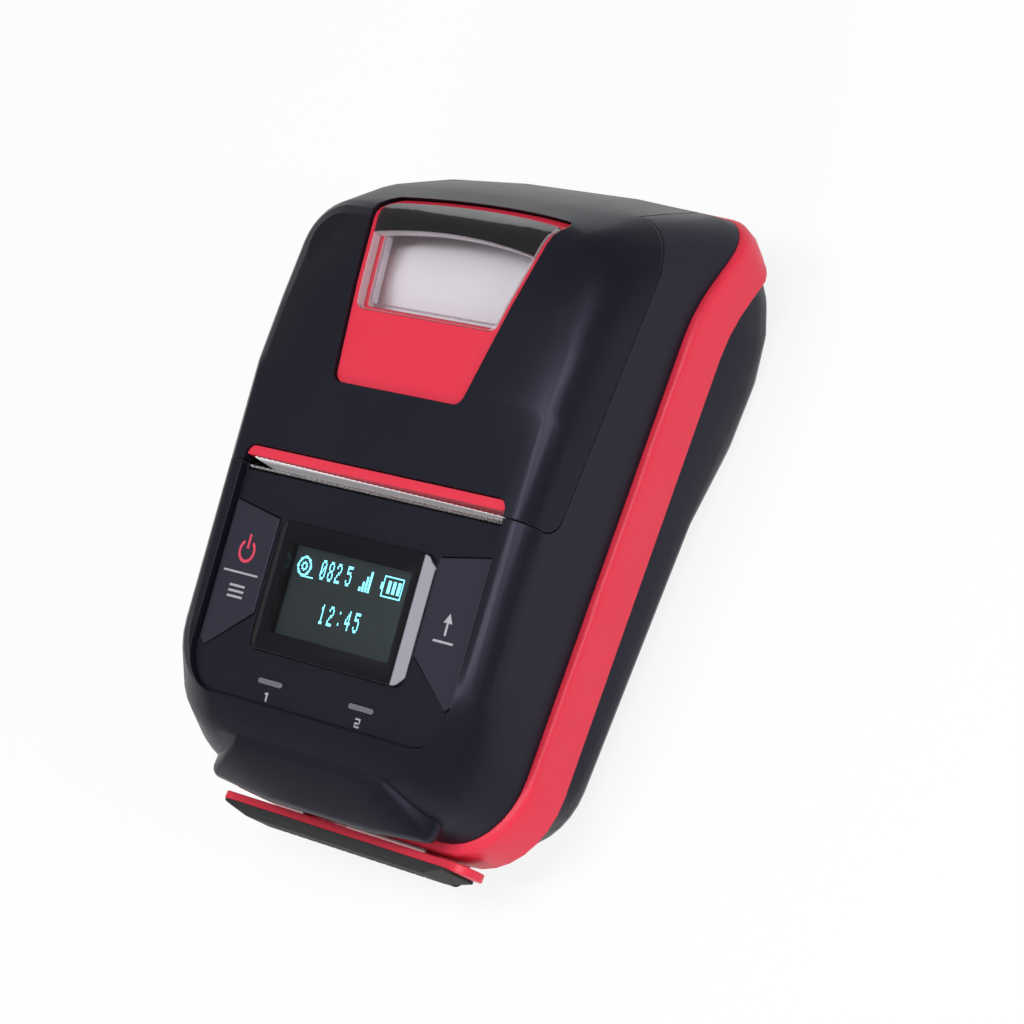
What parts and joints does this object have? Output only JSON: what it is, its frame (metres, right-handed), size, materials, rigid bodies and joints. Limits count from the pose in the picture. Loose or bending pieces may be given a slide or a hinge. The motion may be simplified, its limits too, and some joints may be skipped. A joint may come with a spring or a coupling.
{
  "type": "portable barcode printer",
  "caption": "Pocket-size label and receipt printer: display panel, feed keys, hinged paper cover with window over a drop-in roll, red bumper band, rear battery, strap bail.",
  "frame": {"origin": "middle of the bounding box in X and Y, on the plane that the back rests on", "axes": "the printer lies on its back: +X across to the right seen from the front with the roll end up, +Y towards the roll end, +Z out of the front face"},
  "size_m": [0.0762, 0.1157, 0.0413],
  "materials": {
    "black_plastic": "fine matte grain, near black with a blue cast",
    "panel_plastic": "matte dark grey",
    "red_plastic": "satin coral red",
    "window_gloss": "gloss black window with a clear lit area",
    "display_glass": "display glass, lit glyphs",
    "clear_plastic": "clear moulded window",
    "light_plastic": "translucent light pipe, unlit",
    "board": "green circuit board",
    "chip_black": "moulded black component",
    "steel": "brushed or bright zinc",
    "aluminium": "milled",
    "ceramic": "glazed thermal head strip",
    "brass": "bright",
    "rubber": "matte black",
    "acetal": "natural acetal",
    "paper": "smooth thermal paper",
    "cardboard": "grey-brown tube",
    "flex": "amber film cable",
    "inner_plastic": "plain moulded black"
  },
  "bodies": {
    "housing": {"front_shell": "black_plastic", "rear_shell": "black_plastic", "bumper_band": "red_plastic", "display_window": "window_gloss", "display_module": "display_glass", "control_board": "board", "tact_switches": "steel", "power_light_pipe": "light_plastic", "error_light_pipe": "light_plastic", "main_board": "board", "buzzer": "chip_black", "board_cable": "flex", "usb_port": "steel", "charge_jack": "chip_black", "release_spring": "steel", "head_pin": "steel", "head_springs": "steel", "head_cable": "flex", "mechanism_frame": "steel", "tear_bar": "steel", "paper_guide": "inner_plastic", "paper_sensor": "chip_black", "stepper_motor": "steel", "idler_pin": "steel", "hinge_pin": "steel", "hinge_spring": "steel", "roll_tray": "inner_plastic", "paper_strip": "paper", "battery_pack": "inner_plastic", "battery_contacts": "brass", "latch_spring": "steel", "bail_pins": "steel", "case_screws": "steel", "control_screws": "steel", "board_screws": "steel", "frame_screws": "steel"},
    "cover": {"paper_cover": "black_plastic", "inner_cover": "red_plastic", "cover_insert": "red_plastic", "cover_window": "clear_plastic", "platen_bushes": "acetal"},
    "platen": {"platen_roller": "rubber", "platen_shaft": "steel", "platen_gear": "acetal"},
    "idler": {"idler_gear": "acetal"},
    "rotor": {"motor_pinion": "brass"},
    "roll": {"paper_roll": "paper", "roll_core": "cardboard"},
    "head": {"head_board": "ceramic", "head_heatsink": "aluminium"},
    "mode_key": {"mode_button": "panel_plastic"},
    "feed_key": {"feed_button": "panel_plastic"},
    "release": {"release_button": "black_plastic"},
    "latch": {"battery_latch": "red_plastic"},
    "port_flap": {"port_cover": "rubber"},
    "bail": {"strap_bail": "red_plastic", "bail_grip": "rubber"}
  },
  "joints": [
    {"name": "cover_hinge", "type": "hinge", "parent": "housing", "child": "cover", "pos_m": [0, 0.0517, 0.021], "axis": [-1, 0, 0], "range_deg": [0, 90]},
    {"name": "platen_spin", "type": "hinge", "parent": "cover", "child": "platen", "pos_m": [0, 0.0014, 0.0288], "axis": [1, 0, 0], "continuous": true},
    {"name": "idler_spin", "type": "hinge", "parent": "housing", "child": "idler", "pos_m": [0, 0.0071, 0.0243], "axis": [1, 0, 0], "continuous": true},
    {"name": "motor_spin", "type": "hinge", "parent": "housing", "child": "rotor", "pos_m": [0, 0.009, 0.0175], "axis": [1, 0, 0], "continuous": true},
    {"name": "roll_spin", "type": "hinge", "parent": "housing", "child": "roll", "pos_m": [0, 0.032, 0.02], "axis": [1, 0, 0], "continuous": true},
    {"name": "head_swing", "type": "hinge", "parent": "housing", "child": "head", "pos_m": [0, -0.0056, 0.0184], "axis": [1, 0, 0], "range_deg": [0, 3], "stiffness_Nm_per_rad": 2, "springref_deg": -2.86, "deforming": ["head_springs", "head_cable"]},
    {"name": "mode_press", "type": "slide", "parent": "housing", "child": "mode_key", "axis": [0, 0.153, -0.9882], "range_m": [0, 0.0005], "stiffness_N_per_m": 400, "springref_m": -0.0008},
    {"name": "feed_press", "type": "slide", "parent": "housing", "child": "feed_key", "axis": [0, 0.153, -0.9882], "range_m": [0, 0.0005], "stiffness_N_per_m": 400, "springref_m": -0.0008},
    {"name": "release_press", "type": "slide", "parent": "housing", "child": "release", "axis": [1, 0, 0], "range_m": [0, 0.0012], "stiffness_N_per_m": 400, "springref_m": -0.001, "deforming": ["release_spring"]},
    {"name": "latch_slide", "type": "slide", "parent": "housing", "child": "latch", "axis": [0, -1, 0], "range_m": [0, 0.001], "stiffness_N_per_m": 300, "springref_m": -0.001, "deforming": ["latch_spring"]},
    {"name": "port_cover_hinge", "type": "hinge", "parent": "housing", "child": "port_flap", "pos_m": [-0.036, -0.023, 0.0223], "axis": [0, -1, 0], "range_deg": [0, 100]},
    {"name": "bail_hinge", "type": "hinge", "parent": "housing", "child": "bail", "pos_m": [0, -0.055, 0.0056], "axis": [1, 0, 0], "range_deg": [0, 95]}
  ],
  "couplings": [
    {"joint": "platen_spin", "follows": "roll_spin", "ratio": -3.255},
    {"joint": "idler_spin", "follows": "roll_spin", "ratio": 6.51},
    {"joint": "motor_spin", "follows": "roll_spin", "ratio": -16.275}
  ]
}
